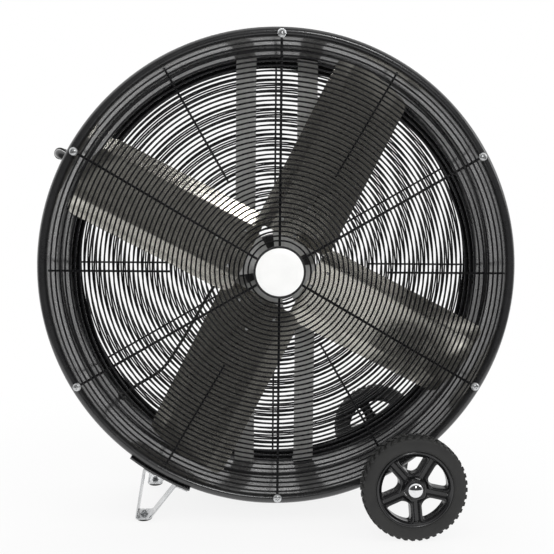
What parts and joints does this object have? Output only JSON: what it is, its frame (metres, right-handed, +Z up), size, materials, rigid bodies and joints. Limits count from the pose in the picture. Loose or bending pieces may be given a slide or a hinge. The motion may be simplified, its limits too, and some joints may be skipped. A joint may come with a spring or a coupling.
{
  "type": "drum fan",
  "caption": "Portable drum fan: a rolled steel drum with wire guards, a four-blade direct-drive impeller, two wheels, V legs on rubber feet and a lifting handle.",
  "frame": {"origin": "on the floor, below the middle of the drum: the centre of the bounding box, at its bottom", "axes": "+X to the right seen from the front, where the wheels are; +Y to the back along the fan axis; +Z up"},
  "size_m": [1.13, 0.545, 1.173],
  "materials": {
    "drum_paint": "semi-gloss black paint on rolled sheet steel",
    "wire_paint": "satin black paint on steel wire",
    "badge_white": "plain white disc, bare",
    "galvanised": "galvanised sheet, dull and slightly mottled",
    "strap_steel": "plated bar, mid grey",
    "motor_paint": "dark grey paint",
    "lamination": "stacked electrical steel",
    "zinc": "bright zinc plate",
    "chrome": "polished",
    "tyre_rubber": "matt black",
    "foot_rubber": "matt black",
    "black_plastic": "moulded, fine grain"
  },
  "bodies": {
    "frame": {"drum_shell": "drum_paint", "badge_plate": "drum_paint", "front_axle_bracket": "drum_paint", "back_axle_bracket": "drum_paint", "leg_saddle": "drum_paint", "handle_bar": "drum_paint", "front_guard": "wire_paint", "back_guard": "wire_paint", "badge_face": "badge_white", "motor_strap_left": "strap_steel", "motor_strap_right": "strap_steel", "motor_plate": "strap_steel", "motor_shell": "motor_paint", "motor_front_bell": "motor_paint", "motor_back_bell": "motor_paint", "motor_terminal_box": "motor_paint", "motor_stator": "lamination", "motor_front_bearing": "zinc", "motor_back_bearing": "zinc", "axle": "zinc", "front_leg": "zinc", "back_leg": "zinc", "front_foot_bolt": "zinc", "back_foot_bolt": "zinc", "front_handle_bolt": "zinc", "back_handle_bolt": "zinc", "guard_bolt_1": "zinc", "guard_bolt_2": "zinc", "guard_bolt_3": "zinc", "guard_bolt_4": "zinc", "guard_bolt_5": "zinc", "guard_bolt_6": "zinc", "strap_bolt_1": "zinc", "strap_bolt_2": "zinc", "strap_bolt_3": "zinc", "strap_bolt_4": "zinc", "front_axle_cap": "chrome", "back_axle_cap": "chrome", "front_foot": "foot_rubber", "back_foot": "foot_rubber", "handle_grip": "foot_rubber", "lead_grommet": "foot_rubber", "motor_lead": "foot_rubber", "switch_box": "black_plastic", "inlet_gland": "black_plastic"},
    "impeller": {"blade_1": "galvanised", "blade_2": "galvanised", "blade_3": "galvanised", "blade_4": "galvanised", "blade_spider": "strap_steel", "hub": "strap_steel", "hub_set_screw": "zinc", "motor_shaft": "zinc", "motor_rotor": "lamination"},
    "front_wheel_body": {"front_wheel": "black_plastic", "front_wheel_tyre": "tyre_rubber"},
    "back_wheel_body": {"back_wheel": "black_plastic", "back_wheel_tyre": "tyre_rubber"},
    "knob": {"speed_knob": "black_plastic"}
  },
  "joints": [
    {"name": "impeller_spin", "type": "hinge", "parent": "frame", "child": "impeller", "pos_m": [0, 0, 0.60799], "axis": [0, 1, 0], "continuous": true},
    {"name": "front_wheel_roll", "type": "hinge", "parent": "frame", "child": "front_wheel_body", "pos_m": [0.30842, -0.24, 0.122], "axis": [0, 1, 0], "continuous": true},
    {"name": "back_wheel_roll", "type": "hinge", "parent": "frame", "child": "back_wheel_body", "pos_m": [0.30842, 0.24, 0.122], "axis": [0, 1, 0], "continuous": true},
    {"name": "speed_knob_turn", "type": "hinge", "parent": "frame", "child": "knob", "pos_m": [-0.44007, 0.082, 0.22545], "axis": [-0.7547, 0, -0.6561], "range_deg": [0, 120]}
  ]
}
